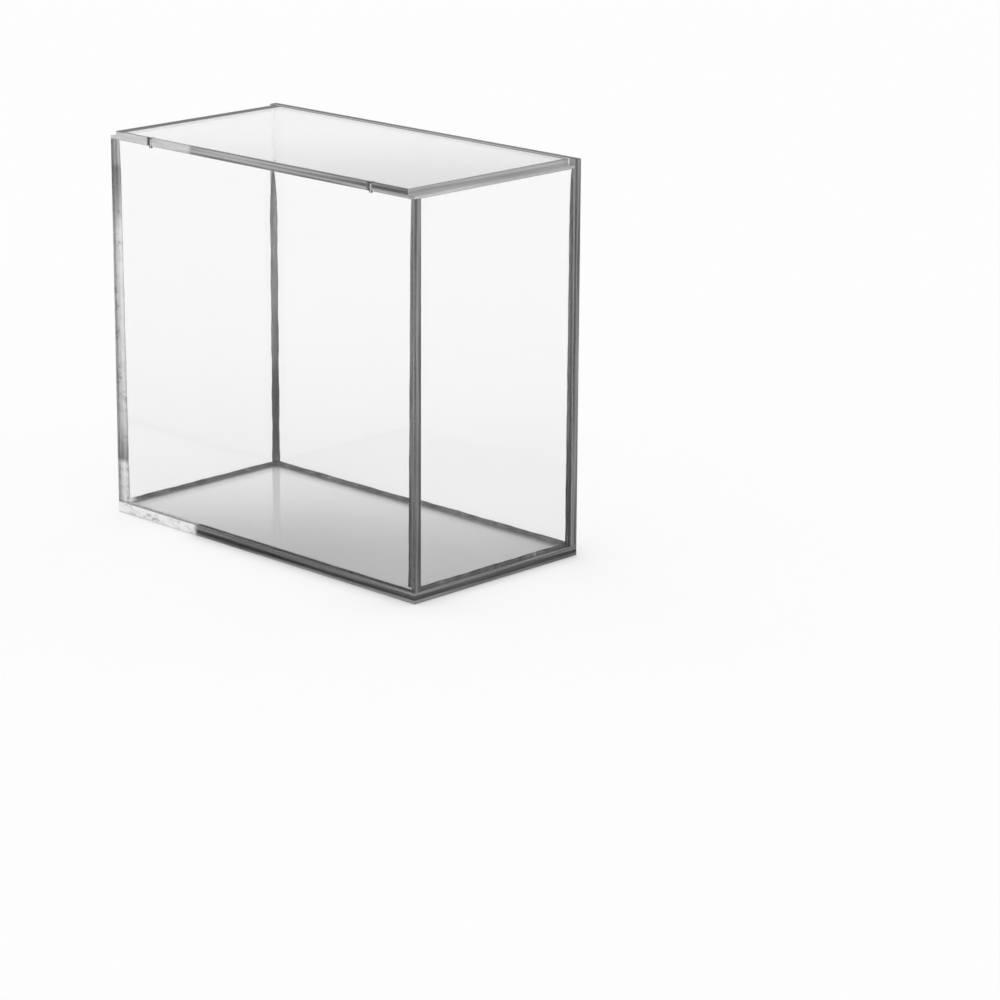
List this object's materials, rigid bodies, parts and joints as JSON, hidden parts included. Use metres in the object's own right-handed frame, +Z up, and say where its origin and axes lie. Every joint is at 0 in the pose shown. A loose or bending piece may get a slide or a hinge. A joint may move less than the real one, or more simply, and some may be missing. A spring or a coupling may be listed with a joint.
{
  "type": "trading card display case",
  "caption": "Clear acrylic box for a boxed card set, with welded wall and base panels and a stepped lid that slides along a raised back panel and is held shut by rod magnets.",
  "frame": {"origin": "centre of the base's underside, where the case stands", "axes": "+X to the right along the case's length, +Y from the front panel to the back panel, +Z up"},
  "size_m": [0.203, 0.105, 0.186],
  "materials": {
    "clear_acrylic": "clear cast acrylic sheet, polished faces and diamond-polished edges that look grey",
    "nickel_magnet": "bright nickel plating"
  },
  "bodies": {
    "box": {"base_panel": "clear_acrylic", "front_panel": "clear_acrylic", "back_panel": "clear_acrylic", "left_panel": "clear_acrylic", "right_panel": "clear_acrylic", "front_magnet_left": "nickel_magnet", "front_magnet_right": "nickel_magnet"},
    "lid": {"lid_panel": "clear_acrylic", "lid_magnet_left": "nickel_magnet", "lid_magnet_right": "nickel_magnet"}
  },
  "joints": [
    {"name": "lid_slide", "type": "slide", "parent": "box", "child": "lid", "axis": [1, 0, 0], "range_m": [-0.1, 0.1]}
  ]
}
